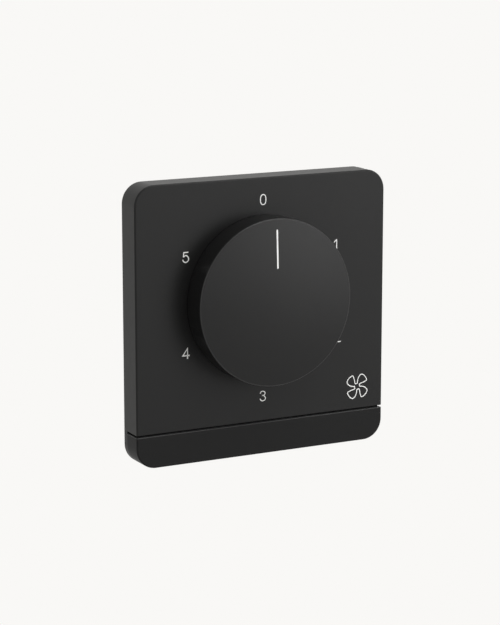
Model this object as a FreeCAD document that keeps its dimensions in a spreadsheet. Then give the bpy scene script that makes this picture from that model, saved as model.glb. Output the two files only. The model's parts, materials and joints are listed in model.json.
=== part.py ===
import FreeCAD, Part
import math
import os
import Sketcher

# Fan speed switch for a wall box: a square plate with a large round knob, a strip
# below a groove, a frame that screws to the box and a five-step rotary switch
# with its capacitors behind it.
#
# The wall is the plane y = 0 and the room is on the side of negative y. Up is +Z.
# The origin is the middle of the line through the two wall screws.

doc = FreeCAD.newDocument("fan_speed_switch")

# Driving sizes, in millimetres unless the text says otherwise
DRIVING_SIZES = [
    ("plate_width", 87.0, "width of the front plate"),
    ("plate_height", 87.8, "height of the front plate, strip included"),
    ("plate_depth", 9.2, "depth of the plate's sides"),
    ("wall_gap", 0.2, "gap between the plate's rear edge and the wall"),
    ("corner_radius", 6.5, "outer radius of the plate's four corners"),
    ("edge_round", 0.5, "rounding of the plate's front edge"),
    ("lip_round", 0.25, "rounding of the two edges along the groove"),
    ("cover_wall", 2.0, "thickness of the plate's front wall"),
    ("skirt_wall", 1.8, "thickness of the plate's side walls"),
    ("strip_height", 10.2, "height of the lower strip"),
    ("groove_width", 0.6, "open gap between plate and strip"),
    ("groove_depth", 1.0, "depth of the groove down to the strip's tongue"),
    ("rim_depth", 2.2, "depth of the rear rim that runs behind the strip"),
    ("cross_wall", 1.6, "thickness of the plate's wall above the groove"),
    ("cover_hole_radius", 9.0, "hole in the plate round the shaft"),
    ("fit_gap", 0.3, "clearance between the plate and the frame inside it"),
    ("hook_width", 8.0, "width of each snap hook"),
    ("hook_thickness", 1.4, "thickness of each snap hook"),
    ("hook_barb", 0.7, "reach of a hook's barb"),
    ("upper_hook_reach", 24.0, "upper hooks, distance from the middle"),
    ("lower_hook_reach", 35.0, "lower hooks, distance from the middle"),
    ("strip_hook_reach", 28.6, "strip hooks, distance from the middle"),
    ("strip_hook_width", 5.6, "width of each strip hook"),
    ("frame_thickness", 3.0, "thickness of the mounting frame"),
    ("frame_rib", 1.2, "thickness of the frame's upright rib"),
    ("frame_rib_height", 2.4, "height of the frame's upright rib"),
    ("frame_ledge", 1.4, "thickness of the ledge that a hook grips"),
    ("wall_screw_spacing", 60.3, "distance between the two wall screws"),
    ("wall_slot_radius", 2.0, "half the width of a wall screw slot"),
    ("wall_slot_length", 6.0, "length of a wall screw slot, end to end"),
    ("wall_well_radius", 3.7, "half the width of the well for a screw's head"),
    ("wall_well_depth", 1.0, "depth of the well for a screw's head"),
    ("post_radius", 2.2, "radius of the posts that carry the plate"),
    ("post_inset", 5.0, "posts, distance from the frame's left and right edges"),
    ("post_margin", 11.0, "posts, distance from the frame's top edge and its lower rib end"),
    ("axis_height", 6.1, "height of the knob's axis above the wall screws"),
    ("housing_width", 46.0, "width of the mechanism's box"),
    ("housing_height", 53.0, "height of the mechanism's box"),
    ("housing_depth", 24.0, "depth of the mechanism's box behind the wall plane"),
    ("housing_wall", 1.6, "side walls of the mechanism's box"),
    ("housing_corner", 1.5, "corner radius of the mechanism's box"),
    ("flange_thickness", 2.0, "thickness of the box's flange and front wall"),
    ("flange_side", 2.0, "flange beyond the box, left and right"),
    ("flange_ear", 4.5, "flange beyond the box, above and below"),
    ("opening_gap", 0.2, "gap round the box in the frame's opening"),
    ("boss_radius", 2.6, "radius of the screw bosses inside the box"),
    ("boss_inset", 1.8, "middle of a screw boss from the box's inner walls"),
    ("board_post_radius", 2.2, "radius of the posts under the board"),
    ("rear_cover_thickness", 2.0, "thickness of the rear cover"),
    ("lip_height", 1.0, "height of the rear cover's locating lips"),
    ("lip_thickness", 1.2, "thickness of the rear cover's locating lips"),
    ("field_margin", 6.2, "edge left round the sunk field of the rear cover"),
    ("field_depth", 0.3, "depth of the sunk field of the rear cover"),
    ("seat_gap", 0.05, "clearance between pieces that slip together"),
    ("screw_radius", 1.1, "shank radius of the small screws"),
    ("screw_head_radius", 2.0, "head radius of the small screws"),
    ("screw_head_height", 1.1, "head height of the small screws"),
    ("housing_screw_length", 9.0, "length of a rear cover screw below its head"),
    ("board_screw_length", 6.0, "length of a board screw below its head"),
    ("screw_end_gap", 0.8, "free depth beyond the tip of a screw"),
    ("knob_radius", 26.22, "radius of the knob"),
    ("knob_height", 9.05, "edge of the knob's front, measured from the plate"),
    ("knob_crown", 0.9, "rise of the knob's front from its edge to its middle"),
    ("knob_middle", 1.0, "radius of the flat middle of the knob's front"),
    ("knob_gap", 0.35, "running gap between the knob and the plate"),
    ("knob_round", 0.45, "rounding of the knob's front edge"),
    ("knob_wall", 1.8, "thickness of the knob's side wall"),
    ("knob_top", 2.0, "thickness of the knob's front wall at its edge"),
    ("hub_radius", 6.2, "radius of the knob's hub"),
    ("knob_rib", 1.0, "thickness of the ribs inside the knob"),
    ("knob_rib_depth", 4.6, "depth of the ribs inside the knob"),
    ("knob_rib_count", 8, "number of ribs inside the knob"),
    ("pointer_length", 12.1, "length of the pointer line"),
    ("pointer_width", 0.52, "width of the pointer line"),
    ("pointer_reach", 22.85, "outer end of the pointer, measured from the axis"),
    ("pointer_depth", 0.4, "depth of the pointer's inlay below the knob's front edge"),
    ("shaft_radius", 3.0, "radius of the shaft"),
    ("shaft_flat", 1.5, "distance from the shaft's axis to its flat"),
    ("shaft_chamfer", 0.4, "chamfer at the shaft's front end"),
    ("shaft_end_gap", 0.4, "free depth between the shaft's front end and the knob"),
    ("running_gap", 0.05, "radial clearance of the shaft in its bushing"),
    ("turning_gap", 0.3, "axial clearance round the turning pieces"),
    ("clip_thickness", 0.5, "thickness of the shaft's retaining clip"),
    ("clip_radius", 4.6, "outer radius of the shaft's retaining clip"),
    ("clip_groove_radius", 2.3, "radius at the bottom of the clip's groove"),
    ("leaf_thickness", 0.4, "thickness of the leaf that grips the knob"),
    ("leaf_width", 3.0, "width of the leaf that grips the knob"),
    ("bush_radius", 4.4, "radius of the bushing's neck"),
    ("bush_length", 3.6, "length of the bushing's neck in front of the flange"),
    ("bush_flange_radius", 6.5, "radius of the bushing's flange"),
    ("bush_flange_thickness", 1.2, "thickness of the bushing's flange"),
    ("nut_flats", 12.0, "bushing nut, measured across its flats"),
    ("nut_thickness", 2.0, "thickness of the bushing nut"),
    ("washer_radius", 7.0, "outer radius of the toothed washer"),
    ("washer_thickness", 0.6, "thickness of the toothed washer"),
    ("washer_tooth_count", 12, "number of teeth on the washer"),
    ("switch_radius", 14.5, "outer radius of the rotary switch"),
    ("switch_front_wall", 1.8, "front wall of the rotary switch"),
    ("cavity_radius", 12.0, "inner radius of the rotary switch"),
    ("wafer_radius", 13.0, "radius of the contact wafer"),
    ("wafer_thickness", 1.6, "thickness of the contact wafer"),
    ("cam_radius", 10.0, "radius of the detent wheel at its lobes"),
    ("cam_valley_depth", 1.0, "depth of the valleys between the lobes"),
    ("cam_valley_radius", 5.0, "radius of the valleys between the lobes"),
    ("cam_thickness", 2.2, "thickness of the detent wheel"),
    ("rotor_hub_radius", 5.2, "radius of the rotor's hub"),
    ("rotor_hub_length", 2.3, "length of the rotor's hub behind the wheel"),
    ("stop_lug_reach", 11.4, "outer radius of the rotor's stop lug"),
    ("stop_block_reach", 8.6, "inner radius of the fixed stop"),
    ("stop_lug_angle", 24.0, "width of the rotor's stop lug, in degrees"),
    ("stop_play_angle", 1.5, "play between lug and stop at each end, in degrees"),
    ("step_angle", 60.0, "angle between two speed positions, in degrees"),
    ("position_count", 6, "number of positions, off included"),
    ("spring_thickness", 0.35, "thickness of the detent spring"),
    ("spring_nose_gap", 0.15, "gap between the spring's nose and its valley"),
    ("contact_circle", 9.6, "radius of the circle of fixed contacts"),
    ("contact_radius", 1.4, "radius of a fixed contact"),
    ("contact_thickness", 0.3, "thickness of the contacts on the wafer"),
    ("common_circle", 6.4, "middle radius of the common contact ring"),
    ("common_width", 1.6, "width of the common contact ring"),
    ("wiper_thickness", 0.3, "thickness of the wiper"),
    ("wiper_width", 2.2, "width of the wiper's arm"),
    ("rivet_radius", 0.7, "radius of the wiper's contact rivets"),
    ("rivet_height", 0.9, "height of the wiper's contact rivets"),
    ("pin_radius", 0.45, "radius of the solder pins"),
    ("board_thickness", 1.6, "thickness of the circuit board"),
    ("board_gap", 1.0, "gap between the rotary switch and the board"),
    ("pin_reach", 0.9, "solder pins beyond the board"),
    ("capacitor_width", 10.0, "width of each capacitor"),
    ("capacitor_depth", 11.6, "depth of each capacitor"),
    ("large_capacitor_height", 31.0, "height of the large capacitor"),
    ("small_capacitor_height", 26.0, "height of the small capacitor"),
    ("capacitor_round", 0.6, "rounded edges of the capacitors"),
    ("resistor_radius", 1.2, "radius of a resistor"),
    ("resistor_length", 6.6, "length of a resistor"),
    ("resistor_pitch", 3.6, "distance between the two resistors"),
    ("resistor_margin", 3.1, "upper resistor from the box's inner top wall"),
    ("part_gap", 0.6, "room between the parts on the board and what is next to them"),
    ("terminal_pitch", 9.0, "distance between neighbouring terminals"),
    ("terminal_height", 10.0, "height of the terminal block"),
    ("wire_radius", 2.0, "radius of a wire entry"),
    ("wire_wall", 2.5, "wall of the terminal block at a wire entry"),
    ("clamp_width", 6.2, "width of a terminal clamp"),
    ("terminal_screw_radius", 1.5, "shank radius of a terminal screw"),
    ("terminal_head_radius", 2.3, "head radius of a terminal screw"),
    ("terminal_head_height", 2.2, "head height of a terminal screw"),
]

sheet = doc.addObject("Spreadsheet::Sheet", "Sizes")


class Measure:
    """A number together with the sheet formula that gives it."""

    def __init__(self, value, formula):
        self.value = float(value)
        self.formula = formula

    def __add__(self, other):
        other = measure(other)
        return Measure(self.value + other.value, f"({self.formula} + {other.formula})")

    def __sub__(self, other):
        other = measure(other)
        return Measure(self.value - other.value, f"({self.formula} - {other.formula})")

    def __mul__(self, other):
        other = measure(other)
        return Measure(self.value * other.value, f"({self.formula} * {other.formula})")

    def __truediv__(self, other):
        other = measure(other)
        return Measure(self.value / other.value, f"({self.formula} / {other.formula})")

    def __neg__(self):
        return Measure(-self.value, f"(0 - {self.formula})")

    def __radd__(self, other):
        return measure(other) + self

    def __rsub__(self, other):
        return measure(other) - self

    def __rmul__(self, other):
        return measure(other) * self


def measure(thing):
    """Turn a plain number into a Measure."""
    if isinstance(thing, Measure):
        return thing
    number = float(thing)
    if number < 0:
        return Measure(number, f"(0 - {-number:.9f})")
    return Measure(number, f"{number:.9f}")


def sine(angle):
    angle = measure(angle)
    return Measure(math.sin(math.radians(angle.value)), f"sin({angle.formula} * 1 deg)")


def cosine(angle):
    angle = measure(angle)
    return Measure(math.cos(math.radians(angle.value)), f"cos({angle.formula} * 1 deg)")


def fill_sheet():
    """Write the driving sizes to the sheet and give them back by name."""
    sizes = {}
    for row, (alias, value, meaning) in enumerate(DRIVING_SIZES, start=2):
        sheet.set(f"A{row}", meaning)
        sheet.set(f"B{row}", str(value))
        sheet.setAlias(f"B{row}", alias)
        sizes[alias] = Measure(value, f"Sizes.{alias}")
    doc.recompute()
    return sizes


S = fill_sheet()


def bind(thing, prop, value):
    thing.setExpression(prop, measure(value).formula)


# Outlines for sketches. Each one adds itself to a sketch and binds its sizes.


def bind_point(sketch, geometry, point, x, y):
    for kind, value in (("DistanceX", x), ("DistanceY", y)):
        index = sketch.addConstraint(
            Sketcher.Constraint(kind, -1, 1, geometry, point, measure(value).value)
        )
        bind(sketch, f"Constraints[{index}]", value)


def bind_radius(sketch, geometry, radius):
    index = sketch.addConstraint(Sketcher.Constraint("Radius", geometry, measure(radius).value))
    bind(sketch, f"Constraints[{index}]", radius)


def polygon(*points):
    """A closed outline of straight edges through the given points."""

    def draw(sketch):
        first = sketch.GeometryCount
        places = [FreeCAD.Vector(measure(x).value, measure(y).value, 0) for x, y in points]
        count = len(places)
        for i in range(count):
            sketch.addGeometry(Part.LineSegment(places[i], places[(i + 1) % count]), False)
        for i in range(count):
            sketch.addConstraint(
                Sketcher.Constraint("Coincident", first + i, 2, first + (i + 1) % count, 1)
            )
        for i, (x, y) in enumerate(points):
            bind_point(sketch, first + i, 1, x, y)

    return draw


def rectangle(left, bottom, right, top):
    return polygon((left, bottom), (right, bottom), (right, top), (left, top))


def circle(x, y, radius):
    def draw(sketch):
        centre = FreeCAD.Vector(measure(x).value, measure(y).value, 0)
        index = sketch.addGeometry(
            Part.Circle(centre, FreeCAD.Vector(0, 0, 1), measure(radius).value), False
        )
        bind_point(sketch, index, 3, x, y)
        bind_radius(sketch, index, radius)

    return draw


def crowned(front, flat, radius, bow, *rest):
    """A closed profile: a flat middle, an arc out to a radius, then straight edges.

    The circle of the arc crosses the axis at the depth front and has the radius bow.
    """

    def draw(sketch):
        start, middle, reach, r = (measure(v).value for v in (front, flat, radius, bow))
        ring = Part.Circle(FreeCAD.Vector(start + r, 0, 0), FreeCAD.Vector(0, 0, 1), r)
        arc = Part.ArcOfCircle(ring, math.pi - math.asin(reach / r),
                               math.pi - math.asin(middle / r))
        corners = [FreeCAD.Vector(measure(x).value, measure(y).value, 0) for x, y in rest]
        foot = FreeCAD.Vector(arc.EndPoint.x, 0, 0)
        places = [arc.StartPoint, *corners, foot, arc.EndPoint]
        first = sketch.GeometryCount
        sketch.addGeometry(arc, False)
        for a, b in zip(places, places[1:]):
            sketch.addGeometry(Part.LineSegment(a, b), False)
        last = first + len(rest) + 2
        sketch.addConstraint(Sketcher.Constraint("Coincident", first, 1, first + 1, 1))
        for i in range(first + 1, last):
            sketch.addConstraint(Sketcher.Constraint("Coincident", i, 2, i + 1, 1))
        sketch.addConstraint(Sketcher.Constraint("Coincident", last, 2, first, 2))
        sketch.addConstraint(Sketcher.Constraint("Vertical", last))
        sketch.addConstraint(Sketcher.Constraint("PointOnObject", last, 1, -1))
        bind_point(sketch, first, 3, front + bow, 0)
        bind_radius(sketch, first, bow)
        for end, height in ((1, radius), (2, flat)):
            index = sketch.addConstraint(
                Sketcher.Constraint("DistanceY", -1, 1, first, end, measure(height).value)
            )
            bind(sketch, f"Constraints[{index}]", height)
        for i, (x, y) in enumerate(rest):
            bind_point(sketch, first + 2 + i, 1, x, y)

    return draw


def slot(x1, y1, x2, y2, radius):
    """An outline with two half-round ends about the two given centres."""

    def draw(sketch):
        a = FreeCAD.Vector(measure(x1).value, measure(y1).value, 0)
        b = FreeCAD.Vector(measure(x2).value, measure(y2).value, 0)
        r = measure(radius).value
        along = (b - a).normalize()
        side = FreeCAD.Vector(-along.y, along.x, 0) * r
        heading = math.atan2(along.y, along.x)
        up = FreeCAD.Vector(0, 0, 1)
        quarter = math.pi / 2
        first = sketch.GeometryCount
        near = Part.ArcOfCircle(Part.Circle(a, up, r), heading + quarter, heading + 3 * quarter)
        far = Part.ArcOfCircle(Part.Circle(b, up, r), heading - quarter, heading + quarter)
        sketch.addGeometry(near, False)
        sketch.addGeometry(Part.LineSegment(a - side, b - side), False)
        sketch.addGeometry(far, False)
        sketch.addGeometry(Part.LineSegment(b + side, a + side), False)
        for i in range(4):
            sketch.addConstraint(
                Sketcher.Constraint("Tangent", first + i, 2, first + (i + 1) % 4, 1)
            )
        bind_point(sketch, first, 3, x1, y1)
        bind_point(sketch, first + 2, 3, x2, y2)
        bind_radius(sketch, first, radius)

    return draw


def flatted_circle(radius, flat):
    """A circle about the origin whose upper part is cut off by a flat."""

    def draw(sketch):
        r = measure(radius).value
        f = measure(flat).value
        half = math.sqrt(r * r - f * f)
        first = sketch.GeometryCount
        up = FreeCAD.Vector(0, 0, 1)
        start = math.atan2(f, -half)
        end = math.atan2(f, half) + 2 * math.pi
        arc = Part.ArcOfCircle(Part.Circle(FreeCAD.Vector(0, 0, 0), up, r), start, end)
        sketch.addGeometry(arc, False)
        chord = Part.LineSegment(FreeCAD.Vector(half, f, 0), FreeCAD.Vector(-half, f, 0))
        sketch.addGeometry(chord, False)
        sketch.addConstraint(Sketcher.Constraint("Coincident", first, 2, first + 1, 1))
        sketch.addConstraint(Sketcher.Constraint("Coincident", first + 1, 2, first, 1))
        sketch.addConstraint(Sketcher.Constraint("Coincident", first, 3, -1, 1))
        sketch.addConstraint(Sketcher.Constraint("Horizontal", first + 1))
        bind_radius(sketch, first, radius)
        index = sketch.addConstraint(Sketcher.Constraint("DistanceY", -1, 1, first + 1, 1, f))
        bind(sketch, f"Constraints[{index}]", flat)

    return draw


def bridge(x, low, high):
    """An open path: up on the left, over with two square bends, down on the right."""

    def draw(sketch):
        half, foot, top = (measure(v).value for v in (x, low, high))
        places = [FreeCAD.Vector(*place, 0)
                  for place in ((-half, foot), (-half, top), (half, top), (half, foot))]
        first = sketch.GeometryCount
        for start, end in zip(places, places[1:]):
            sketch.addGeometry(Part.LineSegment(start, end), False)
        for i in (first, first + 1):
            sketch.addConstraint(Sketcher.Constraint("Coincident", i, 2, i + 1, 1))
        bind_point(sketch, first, 1, -x, low)
        bind_point(sketch, first + 1, 1, -x, high)
        bind_point(sketch, first + 2, 1, x, high)
        bind_point(sketch, first + 2, 2, x, low)

    return draw


# Features of a body


def origin_feature(body, role):
    return next(item for item in body.Origin.OriginFeatures if item.Role == role)


def new_body(label, z=0):
    body = doc.addObject("PartDesign::Body", label)
    body.Label = label
    bind(body, "Placement.Base.z", z)
    return body


def new_sketch(body, name, role, offset, outlines):
    sketch = body.newObject("Sketcher::SketchObject", f"{body.Name}_{name}_outline")
    sketch.AttachmentSupport = [(origin_feature(body, role), "")]
    sketch.MapMode = "FlatFace"
    bind(sketch, "AttachmentOffset.Base.z", offset)
    for outline in outlines:
        outline(sketch)
    return sketch


def extrude(body, name, role, offset, length, outlines, cut=False, backwards=False):
    """Add or cut a prism over outlines on one of the body's origin planes."""
    sketch = new_sketch(body, name, role, offset, outlines)
    kind = "PartDesign::Pocket" if cut else "PartDesign::Pad"
    feature = body.newObject(kind, f"{body.Name}_{name}")
    feature.Profile = sketch
    bind(feature, "Length", length)
    feature.Reversed = backwards
    return feature


def slab(body, name, front, rear, *outlines):
    """Add material between two depths; the outlines are seen from the room."""
    return extrude(body, name, "XZ_Plane", -rear, rear - front, outlines)


def recess(body, name, front, rear, *outlines):
    """Cut material between two depths; the outlines are seen from the room."""
    return extrude(body, name, "XZ_Plane", -front, rear - front, outlines, cut=True)


def turned(body, name, outline, cut=False):
    """Turn an outline in (depth, radius) about the body's own axis along Y."""
    sketch = new_sketch(body, name, "YZ_Plane", 0, [outline])
    kind = "PartDesign::Groove" if cut else "PartDesign::Revolution"
    feature = body.newObject(kind, f"{body.Name}_{name}")
    feature.Profile = sketch
    feature.ReferenceAxis = (sketch, ["H_Axis"])
    feature.Angle = 360
    return feature


def mirror(body, name, *features):
    """Repeat features on the other side of the middle plane x = 0."""
    twin = body.newObject("PartDesign::Mirrored", f"{body.Name}_{name}")
    twin.Originals = list(features)
    twin.MirrorPlane = (origin_feature(body, "YZ_Plane"), [""])
    body.Tip = twin
    return twin


def ring_of(body, name, feature, count):
    """Repeat a feature all round the body's own axis along Y."""
    pattern = body.newObject("PartDesign::PolarPattern", f"{body.Name}_{name}")
    pattern.Originals = [feature]
    pattern.Axis = (origin_feature(body, "Y_Axis"), [""])
    pattern.Angle = 360
    bind(pattern, "Occurrences", count)
    body.Tip = pattern
    return pattern


def round_edges(body, name, radius, chosen):
    """Round the edges of the body's last feature that the test picks out."""
    doc.recompute()
    base = body.Tip
    names = [f"Edge{i + 1}" for i, edge in enumerate(base.Shape.Edges) if chosen(edge)]
    if not names:
        raise RuntimeError(f"{body.Label}: no edge found for {name}")
    feature = body.newObject("PartDesign::Fillet", f"{body.Name}_{name}")
    feature.Base = (base, names)
    bind(feature, "Radius", radius)
    return feature


def close(a, b, margin=1e-4):
    return abs(a - b) < margin


def four_corners(half_x, half_z):
    return [(sx * half_x, sz * half_z) for sx in (-1, 1) for sz in (-1, 1)]


def along_depth_at(*corners):
    """Pick the edges that run along Y through one of the given (x, z) points."""
    wanted = [(measure(x).value, measure(z).value) for x, z in corners]

    def chosen(edge):
        ends = [vertex.Point for vertex in edge.Vertexes]
        if len(ends) != 2:
            return False
        first, second = ends
        if not (close(first.x, second.x) and close(first.z, second.z)):
            return False
        return any(close(first.x, x) and close(first.z, z) for x, z in wanted)

    return chosen


def in_depth_plane(depth, reach=0):
    """Pick the edges that lie at one depth, at least a distance from the Y axis."""
    level = measure(depth).value
    limit = measure(reach).value

    def chosen(edge):
        box = edge.BoundBox
        if not (close(box.YMin, level) and close(box.YMax, level)):
            return False
        return max(abs(box.XMin), abs(box.XMax), abs(box.ZMin), abs(box.ZMax)) > limit

    return chosen


# Plain solids


def box(name, x, y, z, width, depth, height):
    """A block from its lowest corner: width along X, depth along Y, height along Z."""
    solid = doc.addObject("Part::Box", name)
    bind(solid, "Length", width)
    bind(solid, "Width", depth)
    bind(solid, "Height", height)
    place(solid, x, y, z)
    return solid


def place(solid, x, y, z):
    bind(solid, "Placement.Base.x", x)
    bind(solid, "Placement.Base.y", y)
    bind(solid, "Placement.Base.z", z)


def rod(name, x, z, front, rear, radius, rear_radius=None):
    """A round rod along Y, tapered where a second radius is given."""
    if rear_radius is None:
        solid = doc.addObject("Part::Cylinder", name)
        bind(solid, "Radius", radius)
    else:
        solid = doc.addObject("Part::Cone", name)
        bind(solid, "Radius1", radius)
        bind(solid, "Radius2", rear_radius)
    bind(solid, "Height", rear - front)
    solid.Placement.Rotation = FreeCAD.Rotation(FreeCAD.Vector(1, 0, 0), -90)
    place(solid, x, front, z)
    return solid


def fuse(name, *solids):
    union = doc.addObject("Part::MultiFuse", name)
    union.Shapes = list(solids)
    return union


def cut(name, base, *tools):
    result = doc.addObject("Part::Cut", name)
    result.Base = base
    result.Tool = tools[0] if len(tools) == 1 else fuse(f"{name}_tools", *tools)
    return result


def group(name, solids):
    """Several separate solids of one kind, kept as one sub-part."""
    bundle = doc.addObject("Part::Compound", name)
    bundle.Links = list(solids)
    return bundle


sub_parts = []


def keep(label, thing):
    """Label a finished sub-part; its label names its file."""
    thing.Label = label
    sub_parts.append(thing)
    return thing


# Stations along the depth and outer faces that several pieces share
half_width = S["plate_width"] / 2
half_height = S["plate_height"] / 2
skirt_rear = -S["wall_gap"]
plate_front = skirt_rear - S["plate_depth"]
rim_front = skirt_rear - S["rim_depth"]
cover_inside = plate_front + S["cover_wall"]
strip_top = S["strip_height"] - half_height
groove_top = strip_top + S["groove_width"]
cross_top = groove_top + S["cross_wall"]
inner_half_width = half_width - S["skirt_wall"]
inner_half_height = half_height - S["skirt_wall"]

frame_front = -S["frame_thickness"]
frame_half_width = inner_half_width - S["fit_gap"]
frame_half_height = inner_half_height - S["fit_gap"]
frame_corner = S["corner_radius"] - S["skirt_wall"] - S["fit_gap"]

flange_front = frame_front - S["flange_thickness"]
frame_reserve = frame_front - S["fit_gap"]
relief_front = flange_front - S["screw_head_height"] - S["fit_gap"]
box_half_width = S["housing_width"] / 2
box_half_height = S["housing_height"] / 2
box_inner_width = box_half_width - S["housing_wall"]
box_inner_height = box_half_height - S["housing_wall"]
box_rear = S["housing_depth"]
ear_height = box_half_height + S["screw_head_radius"] + S["seat_gap"] * 10
ear_reach = box_half_width - S["screw_head_radius"] * 3

axis_z = S["axis_height"]
knob_rim = plate_front - S["knob_height"]
knob_front = knob_rim - S["knob_crown"]
knob_rear = plate_front - S["knob_gap"]
knob_inside = knob_rim + S["knob_top"]
knob_bow = (S["knob_radius"] * S["knob_radius"] / S["knob_crown"] + S["knob_crown"]) / 2

bush_front = flange_front - S["bush_length"]
switch_front = frame_front
switch_inside = switch_front + S["switch_front_wall"]
bush_rear = switch_inside
cam_front = switch_inside + S["turning_gap"]
cam_rear = cam_front + S["cam_thickness"]
rotor_rear = cam_rear + S["rotor_hub_length"]
wiper_rear = rotor_rear + S["wiper_thickness"]
contact_front = wiper_rear + S["rivet_height"] + S["turning_gap"]
wafer_front = contact_front + S["contact_thickness"]
wafer_rear = wafer_front + S["wafer_thickness"]
board_front = wafer_rear + S["board_gap"]
board_rear = board_front + S["board_thickness"]
pin_rear = board_rear + S["pin_reach"]
pin_front = board_front - S["pin_reach"]
shaft_rear = wiper_rear + S["turning_gap"]
clip_groove_width = S["clip_thickness"] + 2 * S["seat_gap"]
clip_front = bush_front - S["fit_gap"] - S["clip_thickness"]
hub_rear = clip_front - S["turning_gap"]
shaft_front = knob_inside + S["shaft_end_gap"]

peg_radius = measure(1.0)
peg_distance = S["switch_radius"] - 2.6
boss_x = box_inner_width - S["boss_inset"]
boss_z = box_inner_height - S["boss_inset"]
terminal_x = [-S["terminal_pitch"], measure(0), S["terminal_pitch"]]
terminal_top = S["terminal_height"] - box_half_height
post_top_x = boss_x - S["boss_radius"] - S["board_post_radius"] - S["fit_gap"]
post_top_z = box_inner_height - S["board_post_radius"] - S["part_gap"] * 2
post_low_x = box_inner_width - S["board_post_radius"] - S["part_gap"]
post_low_z = terminal_top + S["screw_head_radius"] + S["fit_gap"]
terminal_half_width = S["terminal_pitch"] * 1.5 + 0.5
clamp_front = board_rear
clamp_depth = S["clamp_width"]
clamp_z = S["wire_wall"] + S["opening_gap"] - box_half_height
wire_y = clamp_front + clamp_depth * 0.46
screw_z = clamp_z + S["clamp_width"] / 2
screw_hole = S["screw_radius"] + S["seat_gap"]


def at_both_sides(places):
    return [(side * measure(x), z) for x, z in places for side in (-1, 1)]


board_posts = at_both_sides([(post_top_x, post_top_z), (post_low_x, post_low_z)])
box_bosses = at_both_sides([(boss_x, boss_z), (boss_x, -boss_z)])
flange_screw_places = at_both_sides([(ear_reach, ear_height), (ear_reach, -ear_height)])


# Front plate


def hook_profile(root, tip, z, outward):
    """Side view of a snap hook from the plate's inside: (depth, height) points."""
    half = S["hook_thickness"] / 2
    barb = S["hook_barb"]
    back = tip - 1.1
    return polygon(
        (root, z - outward * half),
        (tip, z - outward * half),
        (tip, z + outward * half * 0.4),
        (tip - 0.5, z + outward * (half + barb)),
        (back, z + outward * (half + barb)),
        (back, z + outward * half),
        (root, z + outward * half),
    )


hook_root = cover_inside - 0.5
hook_tip = measure(-0.4)
upper_hook_z = frame_half_height - S["frame_rib"] - S["fit_gap"] * 2 - S["hook_thickness"] / 2
lower_hook_z = cross_top + S["frame_rib"] + S["fit_gap"] * 4 + S["hook_thickness"] / 2
strip_window_front = rim_front - 3.4
strip_window_rear = rim_front - 1.8
relief_half_width = box_half_width + S["flange_side"] + S["fit_gap"]


def groove_lip_at(level):
    """Pick the front and side edges of a face along the groove, but not its rear ones."""
    height = level.value
    front = plate_front.value
    outside = half_width.value - S["edge_round"].value - 1e-4

    def chosen(edge):
        box = edge.BoundBox
        if not (close(box.ZMin, height) and close(box.ZMax, height)):
            return False
        if close(box.YMin, box.YMax):
            return close(box.YMin, front)
        return max(abs(box.XMin), abs(box.XMax)) > outside

    return chosen


def build_cover_plate():
    """The plate: a shell with a full skirt, a notch for the strip and snap hooks."""
    body = new_body("cover_plate")
    slab(body, "block", plate_front, skirt_rear,
         rectangle(-half_width, -half_height, half_width, half_height))
    recess(body, "cavity", cover_inside, skirt_rear,
           rectangle(-inner_half_width, cross_top, inner_half_width, inner_half_height))
    recess(body, "rear_clearance", frame_reserve, skirt_rear,
           rectangle(-inner_half_width, -inner_half_height, inner_half_width,
                     cross_top + S["cross_wall"]))
    round_edges(body, "inner_corners", S["corner_radius"] - S["skirt_wall"],
                along_depth_at(*four_corners(inner_half_width, inner_half_height)))
    round_edges(body, "corners", S["corner_radius"],
                along_depth_at(*four_corners(half_width, half_height)))
    round_edges(body, "front_edge", S["edge_round"], in_depth_plane(plate_front))
    recess(body, "strip_notch", plate_front - 1, rim_front,
           rectangle(-half_width - 1, -half_height - 1, half_width + 1, groove_top))
    round_edges(body, "groove_lip", S["lip_round"], groove_lip_at(groove_top))
    recess(body, "flange_relief", relief_front, frame_reserve,
           rectangle(-relief_half_width, groove_top - 1, relief_half_width, cross_top + 1))
    recess(body, "shaft_hole", plate_front - 1, cover_inside + 1,
           circle(0, axis_z, S["cover_hole_radius"]))
    for name, reach, z, outward in (("upper_hook", S["upper_hook_reach"], upper_hook_z, 1),
                                    ("lower_hook", S["lower_hook_reach"], lower_hook_z, -1)):
        hook = extrude(body, name, "YZ_Plane", reach - S["hook_width"] / 2, S["hook_width"],
                       [hook_profile(hook_root, hook_tip, z, outward)])
        mirror(body, f"{name}_twin", hook)
    reach = S["strip_hook_reach"]
    half = S["strip_hook_width"] / 2 + S["fit_gap"]
    window = extrude(body, "strip_window", "XY_Plane", cross_top + 1, S["cross_wall"] + 2,
                     [rectangle(reach - half, strip_window_front, reach + half,
                                strip_window_rear)], cut=True)
    mirror(body, "strip_window_twin", window)
    return keep("cover_plate", body)


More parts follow.
